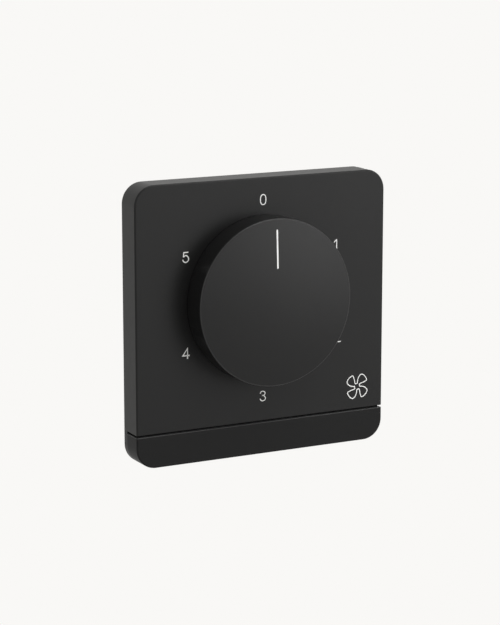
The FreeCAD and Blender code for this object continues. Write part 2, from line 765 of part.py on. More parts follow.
def build_lower_strip():
    """The strip below the groove: a shallow shell that clips into the plate."""
    body = new_body("lower_strip")
    wall = S["skirt_wall"] - 0.2
    slab(body, "block", plate_front, rim_front,
         rectangle(-half_width, -half_height, half_width, strip_top))
    recess(body, "cavity", cover_inside, rim_front,
           rectangle(wall - half_width, wall - half_height, half_width - wall, strip_top - wall))
    round_edges(body, "inner_corners", S["corner_radius"] - wall,
                along_depth_at(*four_corners(half_width - wall, half_height - wall)))
    round_edges(body, "corners", S["corner_radius"],
                along_depth_at(*four_corners(half_width, half_height)))
    top = strip_top.value

    def front_rim(edge):
        box = edge.BoundBox
        in_front = close(box.YMin, plate_front.value) and close(box.YMax, plate_front.value)
        return in_front and not (close(box.ZMin, top) and close(box.ZMax, top))

    round_edges(body, "front_edge", S["edge_round"], front_rim)
    round_edges(body, "groove_lip", S["lip_round"], groove_lip_at(strip_top))
    recess(body, "frame_clearance", frame_reserve, rim_front,
           rectangle(wall - half_width, strip_top - wall * 2, half_width - wall, strip_top + 1))
    tongue = half_width - S["groove_depth"]
    slab(body, "tongue", plate_front + S["groove_depth"], frame_reserve,
         rectangle(-tongue, strip_top - wall / 2, tongue, groove_top - S["seat_gap"]))
    recess(body, "flange_relief", relief_front, frame_reserve,
           rectangle(-relief_half_width, strip_top - wall * 2, relief_half_width,
                     groove_top + 1))
    window_rear = strip_window_rear
    arm_rear = window_rear - S["seat_gap"] * 3
    arm_front = arm_rear - 1.2
    barb_base = cross_top + 0.1
    tip = barb_base + 1.5
    root = strip_top - wall / 2
    profile = polygon((arm_rear, root), (arm_front, root), (arm_front, barb_base),
                      (arm_front - 0.55, barb_base), (arm_front, tip), (arm_rear, tip))
    hook = extrude(body, "hook", "YZ_Plane", S["strip_hook_reach"] - S["strip_hook_width"] / 2,
                   S["strip_hook_width"], [profile])
    mirror(body, "hook_twin", hook)
    return keep("lower_strip", body)


# Mounting frame


def build_mounting_frame():
    """The moulded frame that two screws hold to the wall box."""
    body = new_body("mounting_frame")
    slab(body, "web", frame_front, measure(0),
         rectangle(-frame_half_width, -frame_half_height, frame_half_width, frame_half_height))
    rib_bottom = cross_top + S["fit_gap"] * 2
    rib = S["frame_rib"]
    rib_front = frame_front - S["frame_rib_height"]
    inner_width = frame_half_width - rib
    inner_top = frame_half_height - rib
    slab(body, "rib", rib_front, frame_front,
         polygon((-frame_half_width, rib_bottom), (-inner_width, rib_bottom),
                 (-inner_width, inner_top), (inner_width, inner_top), (inner_width, rib_bottom),
                 (frame_half_width, rib_bottom), (frame_half_width, frame_half_height),
                 (-frame_half_width, frame_half_height)))
    round_edges(body, "rib_corners", frame_corner - rib,
                along_depth_at(*four_corners(inner_width, inner_top)))
    round_edges(body, "corners", frame_corner,
                along_depth_at(*four_corners(frame_half_width, frame_half_height)))
    open_width = box_half_width + S["opening_gap"]
    open_height = box_half_height + S["opening_gap"]
    recess(body, "opening", frame_front, measure(0),
           rectangle(-open_width, -open_height, open_width, open_height))
    round_edges(body, "opening_corners", S["housing_corner"],
                along_depth_at(*four_corners(open_width, open_height)))
    middle = S["wall_screw_spacing"] / 2
    half_run = S["wall_slot_length"] / 2 - S["wall_slot_radius"]
    slots = []
    wells = []
    for side in (-1, 1):
        start = side * middle - half_run
        end = side * middle + half_run
        slots.append(slot(start, 0, end, 0, S["wall_slot_radius"]))
        wells.append(slot(start, 0, end, 0, S["wall_well_radius"]))
    recess(body, "screw_wells", frame_front - 1, frame_front + S["wall_well_depth"], *wells)
    recess(body, "screw_slots", frame_front, measure(0), *slots)
    for name, reach, z, outward in (("upper_window", S["upper_hook_reach"], upper_hook_z, 1),
                                    ("lower_window", S["lower_hook_reach"], lower_hook_z, -1)):
        left = reach - S["hook_width"] / 2 - S["fit_gap"]
        right = reach + S["hook_width"] / 2 + S["fit_gap"]
        half = S["hook_thickness"] / 2
        near = z - outward * (half + S["fit_gap"])
        far = z + outward * (half + 0.1)
        deep = z + outward * (half + S["hook_barb"] + 0.2)
        front_window = rectangle(left, near, right, far) if outward > 0 else \
            rectangle(left, far, right, near)
        rear_window = rectangle(left, near, right, deep) if outward > 0 else \
            rectangle(left, deep, right, near)
        ledge_rear = frame_front + S["frame_ledge"]
        passage = recess(body, name, frame_front - 1, ledge_rear, front_window)
        pocket = recess(body, f"{name}_pocket", ledge_rear, measure(0), rear_window)
        mirror(body, f"{name}_twin", passage, pocket)
    post_x = frame_half_width - S["post_inset"]
    posts = at_both_sides([(post_x, frame_half_height - S["post_margin"]),
                           (post_x, rib_bottom + S["post_margin"])])
    slab(body, "posts", cover_inside, frame_front,
         *[circle(x, z, S["post_radius"]) for x, z in posts])
    recess(body, "flange_pilots", frame_front, frame_front + S["frame_thickness"] - 0.5,
           *[circle(x, z, screw_hole) for x, z in flange_screw_places])
    return keep("mounting_frame", body)


# Mechanism box


def build_mechanism_housing():
    """The moulded box behind the frame, with a flange, bosses and board posts."""
    body = new_body("mechanism_housing")
    flange_width = box_half_width + S["flange_side"]
    flange_height = box_half_height + S["flange_ear"]
    slab(body, "flange", flange_front, frame_front,
         rectangle(-flange_width, -flange_height, flange_width, flange_height))
    round_edges(body, "flange_corners", S["housing_corner"] + 1,
                along_depth_at(*four_corners(flange_width, flange_height)))
    slab(body, "walls", frame_front, box_rear,
         rectangle(-box_half_width, -box_half_height, box_half_width, box_half_height))
    round_edges(body, "corners", S["housing_corner"],
                along_depth_at(*four_corners(box_half_width, box_half_height)))
    recess(body, "cavity", frame_front, box_rear,
           rectangle(-box_inner_width, -box_inner_height, box_inner_width, box_inner_height))
    boss_pilot = S["housing_screw_length"] + S["screw_end_gap"]
    slab(body, "bosses", frame_front, box_rear - S["lip_height"],
         *[circle(x, z, S["boss_radius"]) for x, z in box_bosses])
    slab(body, "board_posts", frame_front, board_front,
         *[circle(x, z, S["board_post_radius"]) for x, z in board_posts])
    recess(body, "boss_pilots", box_rear - boss_pilot, box_rear - S["lip_height"],
           *[circle(x, z, screw_hole) for x, z in box_bosses])
    recess(body, "post_pilots", board_front - S["board_screw_length"], board_front,
           *[circle(x, z, screw_hole) for x, z in board_posts])
    recess(body, "bush_hole", flange_front, frame_front,
           circle(0, axis_z, S["bush_radius"] + S["seat_gap"]))
    recess(body, "peg_hole", flange_front, frame_front,
           circle(0, axis_z - peg_distance, peg_radius + S["seat_gap"]))
    recess(body, "flange_holes", flange_front, frame_front,
           *[circle(x, z, screw_hole) for x, z in flange_screw_places])
    side = terminal_half_width + S["opening_gap"]
    recess(body, "terminal_gap", board_rear, box_rear,
           rectangle(-side, -box_half_height - 1, side, -box_inner_height + 0.5))
    return keep("mechanism_housing", body)


def build_rear_cover():
    """The flat cover that closes the box, with lips inside and wells for its screws."""
    body = new_body("rear_cover")
    outside = box_rear + S["rear_cover_thickness"]
    slab(body, "plate", box_rear, outside,
         rectangle(-box_half_width, -box_half_height, box_half_width, box_half_height))
    round_edges(body, "corners", S["housing_corner"],
                along_depth_at(*four_corners(box_half_width, box_half_height)))
    round_edges(body, "rear_edge", S["edge_round"], in_depth_plane(outside))
    edge = box_inner_width - S["opening_gap"]
    top = box_inner_height - S["opening_gap"]
    thick = S["lip_thickness"]
    side_top = boss_z - S["boss_radius"] - S["part_gap"]
    reach = boss_x - S["boss_radius"] - S["part_gap"]
    slab(body, "lips", box_rear - S["lip_height"], box_rear,
         rectangle(edge - thick, capacitor_low, edge, side_top),
         rectangle(-edge, capacitor_low, thick - edge, side_top),
         rectangle(-reach, top - thick, reach, top))
    head_well = S["screw_head_radius"] + S["opening_gap"]
    recess(body, "screw_holes", box_rear, outside,
           *[circle(x, z, screw_hole) for x, z in box_bosses])
    recess(body, "screw_wells", outside - S["screw_head_height"], outside,
           *[circle(x, z, head_well) for x, z in box_bosses])
    recess(body, "terminal_holes", box_rear, outside,
           *[circle(x, screw_z, S["terminal_head_radius"] + 0.4) for x in terminal_x])
    field = box_inner_width - S["field_margin"]
    recess(body, "sunk_field", outside - S["field_depth"], outside,
           rectangle(-field, terminal_top + S["field_margin"] / 2,
                     field, box_inner_height - S["field_margin"]))
    return keep("rear_cover", body)


def screw(name, x, z, head_face, direction, length):
    """A cross-head screw along Y; direction is +1 where its tip points to the rear."""
    head = S["screw_head_height"]
    wide = S["screw_head_radius"]
    narrow = wide * 0.72
    if direction > 0:
        top = head_face - head
        cap = rod(f"{name}_head", x, z, top, head_face, narrow, wide)
        shank = rod(f"{name}_shank", x, z, head_face, head_face + length, S["screw_radius"])
        slot_y = top - 0.1
    else:
        top = head_face + head
        cap = rod(f"{name}_head", x, z, head_face, top, wide, narrow)
        shank = rod(f"{name}_shank", x, z, head_face - length, head_face, S["screw_radius"])
        slot_y = top - 0.6
    solid = fuse(f"{name}_blank", cap, shank)
    arm = wide * 0.55
    slim = measure(0.22)
    across = box(f"{name}_slot_x", x - arm, slot_y, z - slim, arm * 2, 0.7, slim * 2)
    upright = box(f"{name}_slot_z", x - slim, slot_y, z - arm, slim * 2, 0.7, arm * 2)
    return cut(name, solid, across, upright)


def build_small_screws():
    outside = box_rear + S["rear_cover_thickness"]
    rear = [screw(f"rear_screw_{i}", x, z, outside - S["screw_head_height"], -1,
                  S["housing_screw_length"])
            for i, (x, z) in enumerate(box_bosses)]
    keep("housing_screws", group("housing_screw_group", rear))
    grip = S["flange_thickness"] + S["frame_thickness"] - S["screw_end_gap"]
    front = [screw(f"flange_screw_{i}", x, z, flange_front, 1, grip)
             for i, (x, z) in enumerate(flange_screw_places)]
    keep("flange_screws", group("flange_screw_group", front))
    board = [screw(f"board_screw_{i}", x, z, board_rear, -1, S["board_screw_length"])
             for i, (x, z) in enumerate(board_posts)]
    keep("board_screws", group("board_screw_group", board))


# Knob and shaft


def build_knob():
    """The knob: a turned cup with a crowned front, ribs, a hub and a D-shaped bore."""
    body = new_body("knob", axis_z)
    radius = S["knob_radius"]
    inner = radius - S["knob_wall"]
    hub = S["hub_radius"]
    turned(body, "cup",
           crowned(knob_front, S["knob_middle"], radius, knob_bow, (knob_rear, radius),
                   (knob_rear, inner), (knob_inside, inner), (knob_inside, hub),
                   (hub_rear, hub), (hub_rear, 0)))
    round_edges(body, "front_edge", S["knob_round"], in_depth_plane(knob_rim))
    half = S["knob_rib"] / 2
    rib = slab(body, "rib", knob_inside - 0.5, knob_inside + S["knob_rib_depth"],
               rectangle(hub - 0.5, -half, inner + 0.5, half))
    ring_of(body, "ribs", rib, S["knob_rib_count"])
    flat = S["shaft_flat"] + S["leaf_thickness"] + 2 * S["seat_gap"]
    recess(body, "bore", knob_inside + 0.1, hub_rear,
           flatted_circle(S["shaft_radius"] + S["seat_gap"], flat))
    low, high = pointer_ends()
    recess(body, "pointer_slot", knob_front - 1, knob_rim + S["pointer_depth"],
           slot(0, low, 0, high, S["pointer_width"] / 2))
    return keep("knob", body)


def pointer_ends():
    half = S["pointer_width"] / 2
    high = S["pointer_reach"] - half
    low = S["pointer_reach"] - S["pointer_length"] + half
    return low, high


def build_knob_pointer():
    """The pale line set into the knob, flush with its front."""
    body = new_body("knob_pointer", axis_z)
    low, high = pointer_ends()
    slab(body, "line", knob_front, knob_rim + S["pointer_depth"],
         slot(0, low, 0, high, S["pointer_width"] / 2))
    turned(body, "crown",
           crowned(knob_front, S["knob_middle"], S["knob_radius"], knob_bow,
                   (knob_front - 1, S["knob_radius"]), (knob_front - 1, 0)),
           cut=True)
    return keep("knob_pointer", body)


def build_knob_clip():
    """The spring leaf between the knob's hub and the flat of the shaft."""
    body = new_body("knob_clip", axis_z)
    base = S["shaft_flat"] + S["seat_gap"]
    top = base + S["leaf_thickness"]
    front = shaft_front + S["shaft_chamfer"]
    rear = hub_rear
    leaf = polygon((front, base), (rear - 0.3, base), (rear, base + 0.1), (rear, top),
                   (front, top))
    half = S["leaf_width"] / 2
    extrude(body, "leaf", "YZ_Plane", -half, half * 2, [leaf])
    return keep("knob_clip", body)


def build_selector_shaft():
    """The round shaft with a clip groove and a flat at each end."""
    body = new_body("selector_shaft", axis_z)
    radius = S["shaft_radius"]
    bevel = S["shaft_chamfer"]
    groove = S["clip_groove_radius"]
    groove_front = clip_front - S["seat_gap"]
    turned(body, "bar",
           polygon((shaft_front, 0), (shaft_front, radius - bevel),
                   (shaft_front + bevel, radius), (groove_front, radius),
                   (groove_front, groove), (groove_front + clip_groove_width, groove),
                   (groove_front + clip_groove_width, radius), (shaft_rear, radius),
                   (shaft_rear, 0)))
    above = rectangle(-radius - 1, S["shaft_flat"], radius + 1, radius + 1)
    recess(body, "knob_flat", shaft_front - 1, hub_rear, above)
    recess(body, "rotor_flat", cam_front, shaft_rear + 1,
           rectangle(-radius - 1, S["shaft_flat"], radius + 1, radius + 1))
    return keep("selector_shaft", body)


def build_shaft_clip():
    """The open retaining clip in the shaft's groove."""
    body = new_body("shaft_clip", axis_z)
    inner = S["clip_groove_radius"] + S["seat_gap"]
    slab(body, "ring", clip_front, clip_front + S["clip_thickness"],
         circle(0, 0, S["clip_radius"]), circle(0, 0, inner))
    mouth = inner * 0.85
    recess(body, "mouth", clip_front, clip_front + S["clip_thickness"],
           rectangle(-mouth, -S["clip_radius"] - 1, mouth, 0))
    return keep("shaft_clip", body)


def build_shaft_bushing():
    """The bushing that carries the shaft in the switch's front wall."""
    body = new_body("shaft_bushing", axis_z)
    bore = S["shaft_radius"] + S["running_gap"]
    neck = S["bush_radius"]
    rim = S["bush_flange_radius"]
    flange_rear = switch_front + S["bush_flange_thickness"]
    turned(body, "sleeve",
           polygon((bush_front, bore), (bush_front, neck - 0.4), (bush_front + 0.4, neck),
                   (switch_front, neck), (switch_front, rim), (flange_rear, rim),
                   (flange_rear, neck), (bush_rear, neck), (bush_rear, bore)))
    return keep("shaft_bushing", body)


def build_bushing_washer():
    """The toothed washer under the nut."""
    body = new_body("bushing_washer", axis_z)
    front = flange_front - S["washer_thickness"]
    slab(body, "ring", front, flange_front, circle(0, 0, S["washer_radius"]),
         circle(0, 0, S["bush_radius"] + S["seat_gap"]))
    outer = S["washer_radius"]
    notch = recess(body, "notch", front, flange_front,
                   polygon((-0.35, outer - 1.3), (0.35, outer - 1.3), (0.8, outer + 0.5),
                           (-0.8, outer + 0.5)))
    ring_of(body, "notches", notch, S["washer_tooth_count"])
    return keep("bushing_washer", body)


def build_bushing_nut():
    """The hexagonal nut on the bushing's neck, with bevelled corners."""
    rear = flange_front - S["washer_thickness"]
    front = rear - S["nut_thickness"]
    corner = S["nut_flats"] / math.sqrt(3)
    prism = doc.addObject("Part::Prism", "nut_prism")
    prism.Polygon = 6
    bind(prism, "Circumradius", corner)
    bind(prism, "Height", S["nut_thickness"])
    prism.Placement.Rotation = FreeCAD.Rotation(FreeCAD.Vector(1, 0, 0), -90)
    place(prism, 0, front, axis_z)
    bevel = rod("nut_bevel", 0, axis_z, front, rear + 1.5, S["nut_flats"] / 2 - 0.2,
                S["nut_flats"] / 2 + 3.3)
    blank = doc.addObject("Part::Common", "nut_blank")
    blank.Base = prism
    blank.Tool = bevel
    hole = rod("nut_hole", 0, axis_z, front - 1, rear + 1, S["bush_radius"] + S["seat_gap"])
    return keep("bushing_nut", cut("nut", blank, hole))


# Rotary switch


def sector(inner, outer, middle_angle, half_angle):
    """A four-sided wedge about the axis; angles are clockwise from the top."""
    points = []
    for radius, side in ((inner, -1), (outer, -1), (outer, 1), (inner, 1)):
        angle = middle_angle + side * half_angle
        points.append((radius * sine(angle), radius * cosine(angle)))
    return polygon(*points)


stop_half_angle = S["stop_lug_angle"] / 2
fixed_half_angle = S["step_angle"] / 2 - stop_half_angle - S["stop_play_angle"]
lug_front = cam_rear + S["turning_gap"]


def build_switch_body():
    """The round cup of the rotary switch, with a fixed stop and a locating peg."""
    body = new_body("switch_body", axis_z)
    outer = S["switch_radius"]
    seat = S["wafer_radius"] + S["seat_gap"]
    cavity = S["cavity_radius"]
    neck = S["bush_radius"] + S["seat_gap"]
    rim = S["bush_flange_radius"] + S["seat_gap"]
    flange_rear = switch_front + S["bush_flange_thickness"]
    turned(body, "cup",
           polygon((switch_front, rim), (switch_front, outer), (wafer_rear, outer),
                   (wafer_rear, seat), (wafer_front, seat), (wafer_front, cavity),
                   (switch_inside, cavity), (switch_inside, neck), (flange_rear, neck),
                   (flange_rear, rim)))
    slab(body, "peg", flange_front + 0.4, switch_front, circle(0, -peg_distance, peg_radius))
    slab(body, "stop", lug_front, rotor_rear - S["turning_gap"],
         sector(S["stop_block_reach"], cavity + 0.9, 0, fixed_half_angle))
    slab(body, "spring_pegs", switch_inside, cam_rear,
         *[circle(side * spring_peg_reach, spring_peg_z, spring_peg_radius) for side in (-1, 1)])
    return keep("switch_body", body)


valley_floor = S["cam_radius"] - S["cam_valley_depth"]
nose_top = valley_floor + S["spring_nose_gap"]
leaf_line = S["cam_radius"] + 0.4
spring_half_length = S["cavity_radius"] * 0.44
spring_peg_radius = measure(0.5)
spring_peg_reach = spring_half_length * 0.8
spring_peg_z = -leaf_line - S["spring_thickness"] - spring_peg_radius - S["seat_gap"]


def build_detent_rotor():
    """The rotor: a lobed detent wheel, a hub with a D-shaped bore and a stop lug."""
    body = new_body("detent_rotor", axis_z)
    slab(body, "wheel", cam_front, cam_rear, circle(0, 0, S["cam_radius"]))
    centre = valley_floor + S["cam_valley_radius"]
    valley = recess(body, "valley", cam_front, cam_rear,
                    circle(0, -centre, S["cam_valley_radius"]))
    ring_of(body, "valleys", valley, S["position_count"])
    slab(body, "hub", cam_rear, rotor_rear, circle(0, 0, S["rotor_hub_radius"]))
    slab(body, "stop_lug", lug_front, rotor_rear,
         sector(S["rotor_hub_radius"] - 1, S["stop_lug_reach"], S["step_angle"] / 2,
                stop_half_angle))
    slab(body, "wiper_pegs", rotor_rear, wiper_rear + 0.2,
         *[circle(side * wiper_peg_reach, 0, wiper_peg_radius) for side in (-1, 1)])
    recess(body, "bore", cam_front, rotor_rear,
           flatted_circle(S["shaft_radius"] + S["seat_gap"], S["shaft_flat"] + S["seat_gap"]))
    return keep("detent_rotor", body)


wiper_bore = S["shaft_radius"] + S["opening_gap"]
wiper_peg_reach = (S["rotor_hub_radius"] + wiper_bore) / 2
wiper_peg_radius = (S["rotor_hub_radius"] - wiper_bore) / 4


def build_detent_spring():
    """The bent leaf whose nose drops into the wheel's valleys."""
    body = new_body("detent_spring", axis_z)
    thick = S["spring_thickness"]
    reach = spring_half_length
    foot = measure(2.9)
    crown = measure(0.9)
    upper = [(-reach, -leaf_line), (-foot, -leaf_line), (-crown, -nose_top), (crown, -nose_top),
             (foot, -leaf_line), (reach, -leaf_line)]
    drop = thick * 1.05
    lower = [(reach, -leaf_line - thick), (foot - 0.2, -leaf_line - thick),
             (crown - 0.25, -nose_top - drop), (0.25 - crown, -nose_top - drop),
             (0.2 - foot, -leaf_line - thick), (-reach, -leaf_line - thick)]
    margin = 0.3
    slab(body, "leaf", cam_front + margin, cam_rear - margin, polygon(*(upper + lower)))
    bends = [(side * x, z) for side in (-1, 1) for x, z in ((crown, -nose_top),)]
    round_edges(body, "nose", 0.6, along_depth_at(*bends))
    return keep("detent_spring", body)


def build_wiper_contact():
    """The wiper: a spring plate with two contact rivets that face the wafer."""
    body = new_body("wiper_contact", axis_z)
    slab(body, "plate", rotor_rear, wiper_rear, circle(0, 0, S["rotor_hub_radius"]),
         circle(0, 0, wiper_bore))
    slab(body, "arm", rotor_rear, wiper_rear,
         slot(0, S["rotor_hub_radius"] - 0.6, 0, S["contact_circle"], S["wiper_width"] / 2))
    recess(body, "peg_holes", rotor_rear, wiper_rear,
           *[circle(side * wiper_peg_reach, 0, wiper_peg_radius + S["seat_gap"])
             for side in (-1, 1)])
    tip = contact_front - S["turning_gap"]
    slab(body, "rivets", wiper_rear, tip, circle(0, S["common_circle"], S["rivet_radius"]),
         circle(0, S["contact_circle"], S["rivet_radius"]))
    round_edges(body, "rivet_domes", S["rivet_radius"] * 0.35, in_depth_plane(tip))
    return keep("wiper_contact", body)


def contact_places():
    """Places of the live contacts: one each step, none at the off position."""
    count = int(S["position_count"].value)
    places = []
    for step in range(1, count):
        angle = S["step_angle"] * step
        places.append((S["contact_circle"] * sine(angle), S["contact_circle"] * cosine(angle)))
    return places


def build_contact_wafer():
    """The insulating disc that closes the switch and carries its contacts."""
    body = new_body("contact_wafer", axis_z)
    slab(body, "disc", wafer_front, wafer_rear, circle(0, 0, S["wafer_radius"]))
    hole = S["pin_radius"] + S["seat_gap"]
    recess(body, "pin_holes", wafer_front, wafer_rear, circle(0, S["common_circle"], hole),
           *[circle(x, z, hole) for x, z in contact_places()])
    return keep("contact_wafer", body)


def build_contacts():
    solids = []
    for i, (x, z) in enumerate(contact_places()):
        pad = rod(f"contact_pad_{i}", x, z + axis_z, contact_front, wafer_front,
                  S["contact_radius"])
        pin = rod(f"contact_pin_{i}", x, z + axis_z, wafer_front, pin_rear, S["pin_radius"])
        solids.append(fuse(f"contact_{i}", pad, pin))
    keep("fixed_contacts", group("contact_group", solids))
    half = S["common_width"] / 2
    outer = rod("common_outer", 0, axis_z, contact_front, wafer_front, S["common_circle"] + half)
    inner = rod("common_inner", 0, axis_z, contact_front - 1, wafer_front + 1,
                S["common_circle"] - half)
    ring = cut("common_ring", outer, inner)
    pin = rod("common_pin", 0, axis_z + S["common_circle"], wafer_front, pin_rear,
              S["pin_radius"])
    keep("common_contact", fuse("common_piece", ring, pin))


# Circuit board and what it carries

capacitor_low = post_low_z + S["screw_head_radius"] + S["fit_gap"]
capacitor_reach = box_inner_width - S["part_gap"] - S["capacitor_width"] / 2
capacitor_front = pin_rear + S["seat_gap"] * 4
resistor_top = box_inner_height - S["resistor_margin"]
resistor_heights = [resistor_top - S["resistor_pitch"], resistor_top]
resistor_lead = S["resistor_length"] / 2 + 1.4


def capacitor_leads(side, height):
    middle = capacitor_low + height / 2
    x = side * capacitor_reach
    return [(x, middle - height * 0.35), (x, middle + height * 0.35)]


def capacitor_sides():
    return ((-1, S["large_capacitor_height"]), (1, S["small_capacitor_height"]))


def lead_places():
    """Every hole that the board needs for a lead or a pin."""
    places = [(x, z + axis_z) for x, z in contact_places()]
    places.append((measure(0), axis_z + S["common_circle"]))
    for side, height in capacitor_sides():
        places.extend(capacitor_leads(side, height))
    for z in resistor_heights:
        places.extend([(-resistor_lead, z), (resistor_lead, z)])
    places.extend([(x, screw_z) for x in terminal_x])
    return places


def build_circuit_board():
    """The board: notched round the bosses and drilled for every lead."""
    body = new_body("circuit_board")
    width = box_inner_width - S["opening_gap"]
    height = box_inner_height - S["opening_gap"]
    slab(body, "panel", board_front, board_rear, rectangle(-width, -height, width, height))
    clear = S["boss_radius"] + S["opening_gap"]
    notches = []
    for sx in (-1, 1):
        for sz in (-1, 1):
            x1 = sx * (boss_x - clear)
            x2 = sx * (width + 1)
            z1 = sz * (boss_z - clear)
            z2 = sz * (height + 1)
            notches.append(polygon((x1, z1), (x2, z1), (x2, z2), (x1, z2)))
    recess(body, "notches", board_front, board_rear, *notches)
    hole = S["pin_radius"] + S["seat_gap"]
    recess(body, "lead_holes", board_front, board_rear,
           *[circle(x, z, hole) for x, z in lead_places()])
    recess(body, "screw_holes", board_front, board_rear,
           *[circle(x, z, screw_hole) for x, z in board_posts])
    return keep("circuit_board", body)


def build_capacitors():
    """The two film capacitors, each a moulded block that stands on two leads."""
    for label, (side, height) in zip(("large_capacitor", "small_capacitor"), capacitor_sides()):
        body = new_body(label)
        half = S["capacitor_width"] / 2
        middle = side * capacitor_reach
        bottom = capacitor_low
        rear = capacitor_front + S["capacitor_depth"]
        slab(body, "block", capacitor_front, rear,
             rectangle(middle - half, bottom, middle + half, bottom + height))
        corners = [(middle + sx * half, z) for sx in (-1, 1) for z in (bottom, bottom + height)]
        round_edges(body, "corners", S["capacitor_round"], along_depth_at(*corners))
        round_edges(body, "rear_edge", S["capacitor_round"], in_depth_plane(rear))
        slab(body, "leads", pin_front, capacitor_front,
             *[circle(x, z, S["pin_radius"]) for x, z in capacitor_leads(side, height)])
        keep(label, body)


def build_resistors():
    """The two bleed resistors, lying on the board on bent leads."""
    solids = []
    radius = S["resistor_radius"]
    half = S["resistor_length"] / 2
    lift = board_rear + radius
    wire = S["pin_radius"]
    for i, z in enumerate(resistor_heights):
        body = new_body(f"resistor_{i + 1}", z)
        path = new_sketch(body, "lead_path", "XY_Plane", 0,
                          [bridge(resistor_lead, pin_front, lift)])
        section = new_sketch(body, "lead", "XZ_Plane", -pin_front,
                             [circle(-resistor_lead, 0, wire)])
        lead = body.newObject("PartDesign::AdditivePipe", f"{body.Name}_lead")
        lead.Profile = section
        lead.Spine = (path, ["Edge1", "Edge2", "Edge3"])
        lead.Transition = "Right corner"
        extrude(body, "barrel", "YZ_Plane", -half, half * 2, [circle(lift, 0, radius)])
        ends = (-half.value, half.value)
        round_edges(body, "barrel_ends", radius * 0.35,
                    lambda edge: edge.BoundBox.YLength > radius.value * 1.9
                    and any(close(edge.BoundBox.XMin, x) and close(edge.BoundBox.XMax, x)
                            for x in ends))
        solids.append(body)
    keep("bleed_resistors", group("resistor_group", solids))


# Terminals


def build_terminal_block():
    """The block with three chambers, wire entries below and screw wells behind."""
    body = new_body("terminal_block")
    side = terminal_half_width
    slab(body, "block", board_rear, box_rear,
         rectangle(-side, -box_half_height, side, terminal_top))
    half = S["clamp_width"] / 2 + S["seat_gap"]
    clamp_rear = clamp_front + clamp_depth
    recess(body, "chambers", board_rear, clamp_rear + S["seat_gap"],
           *[rectangle(x - half, clamp_z - S["seat_gap"], x + half,
                       clamp_z + S["clamp_width"] + S["seat_gap"]) for x in terminal_x])
    recess(body, "screw_wells", clamp_rear, box_rear,
           *[circle(x, screw_z, S["terminal_head_radius"] + 0.2) for x in terminal_x])
    entries = [circle(x, wire_y, S["wire_radius"]) for x in terminal_x]
    extrude(body, "wire_entries", "XY_Plane", clamp_z, S["wire_wall"] + 1, entries, cut=True)
    ribs = [rectangle(x - 0.4, -box_half_height, x + 0.4, terminal_top)
            for x in (-S["terminal_pitch"] / 2, S["terminal_pitch"] / 2)]
    recess(body, "grooves", box_rear - 0.5, box_rear, *ribs)
    return keep("terminal_block", body)


def build_terminal_clamps():
    """Three brass clamps: a wire hole from below, a screw hole from behind, a tail."""
    solids = []
    width = S["clamp_width"]
    for i, x in enumerate(terminal_x):
        cube = box(f"clamp_cube_{i}", x - width / 2, clamp_front, clamp_z, width, clamp_depth,
                   width)
        bore = doc.addObject("Part::Cylinder", f"clamp_bore_{i}")
        bind(bore, "Radius", S["wire_radius"] + 0.2)
        bind(bore, "Height", width + 2)
        place(bore, x, wire_y, clamp_z - 1)
        thread = rod(f"clamp_thread_{i}", x, screw_z, wire_y, clamp_front + clamp_depth + 1,
                     S["terminal_screw_radius"] + S["seat_gap"])
        tail = rod(f"clamp_tail_{i}", x, screw_z, pin_front, clamp_front, S["pin_radius"])
        solids.append(fuse(f"clamp_{i}", cut(f"clamp_cage_{i}", cube, bore, thread), tail))
    keep("terminal_clamps", group("clamp_group", solids))


def build_terminal_screws():
    """Three slotted screws, opened so that the wire holes are free."""
    solids = []
    clamp_rear = clamp_front + clamp_depth
    tip = wire_y + S["wire_radius"] + 0.4
    seat = clamp_rear + 1.6
    radius = S["terminal_head_radius"]
    for i, x in enumerate(terminal_x):
        shank = rod(f"terminal_shank_{i}", x, screw_z, tip, seat, S["terminal_screw_radius"])
        head = rod(f"terminal_head_{i}", x, screw_z, seat, seat + S["terminal_head_height"],
                   radius)
        blank = fuse(f"terminal_blank_{i}", shank, head)
        blade = box(f"terminal_slot_{i}", x - radius - 1, seat + S["terminal_head_height"] - 0.9,
                    screw_z - 0.35, radius * 2 + 2, 1.5, 0.7)
        solids.append(cut(f"terminal_screw_{i}", blank, blade))
    keep("terminal_screws", group("terminal_screw_group", solids))


def build_all():
    build_cover_plate()
    build_lower_strip()
    build_mounting_frame()
    build_mechanism_housing()
    build_rear_cover()
    build_small_screws()
    build_knob()
    build_knob_pointer()
    build_knob_clip()
    build_selector_shaft()
    build_shaft_clip()
    build_shaft_bushing()
    build_bushing_washer()
    build_bushing_nut()
    build_switch_body()
    build_detent_rotor()
    build_detent_spring()
    build_wiper_contact()
    build_contact_wafer()
    build_contacts()
    build_circuit_board()
    build_capacitors()
    build_resistors()
    build_terminal_block()
    build_terminal_clamps()
    build_terminal_screws()


def check_document():
    """Stop if any feature failed or any sub-part has no sound shape."""
    doc.recompute()
    for item in doc.Objects:
        if "Invalid" in item.State or "Error" in item.State:
            raise RuntimeError(f"{item.Label} failed: {item.State}")
    for item in sub_parts:
        if item.Shape.isNull() or not item.Shape.isValid() or not item.Shape.Solids:
            raise RuntimeError(f"{item.Label} has no valid shape")


def write_parts():
    os.makedirs("parts", exist_ok=True)
    for item in sub_parts:
        item.Shape.exportStep(os.path.join("parts", f"{item.Label}.step"))
        box = item.Shape.BoundBox
        print(f"{item.Label:20s} solids {len(item.Shape.Solids)} volume {item.Shape.Volume:9.2f} "
              f"x {box.XMin:7.2f} {box.XMax:7.2f} y {box.YMin:7.2f} {box.YMax:7.2f} "
              f"z {box.ZMin:7.2f} {box.ZMax:7.2f}")


build_all()
check_document()
write_parts()
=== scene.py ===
import json
import math

import bpy
from mathutils import Matrix, Vector


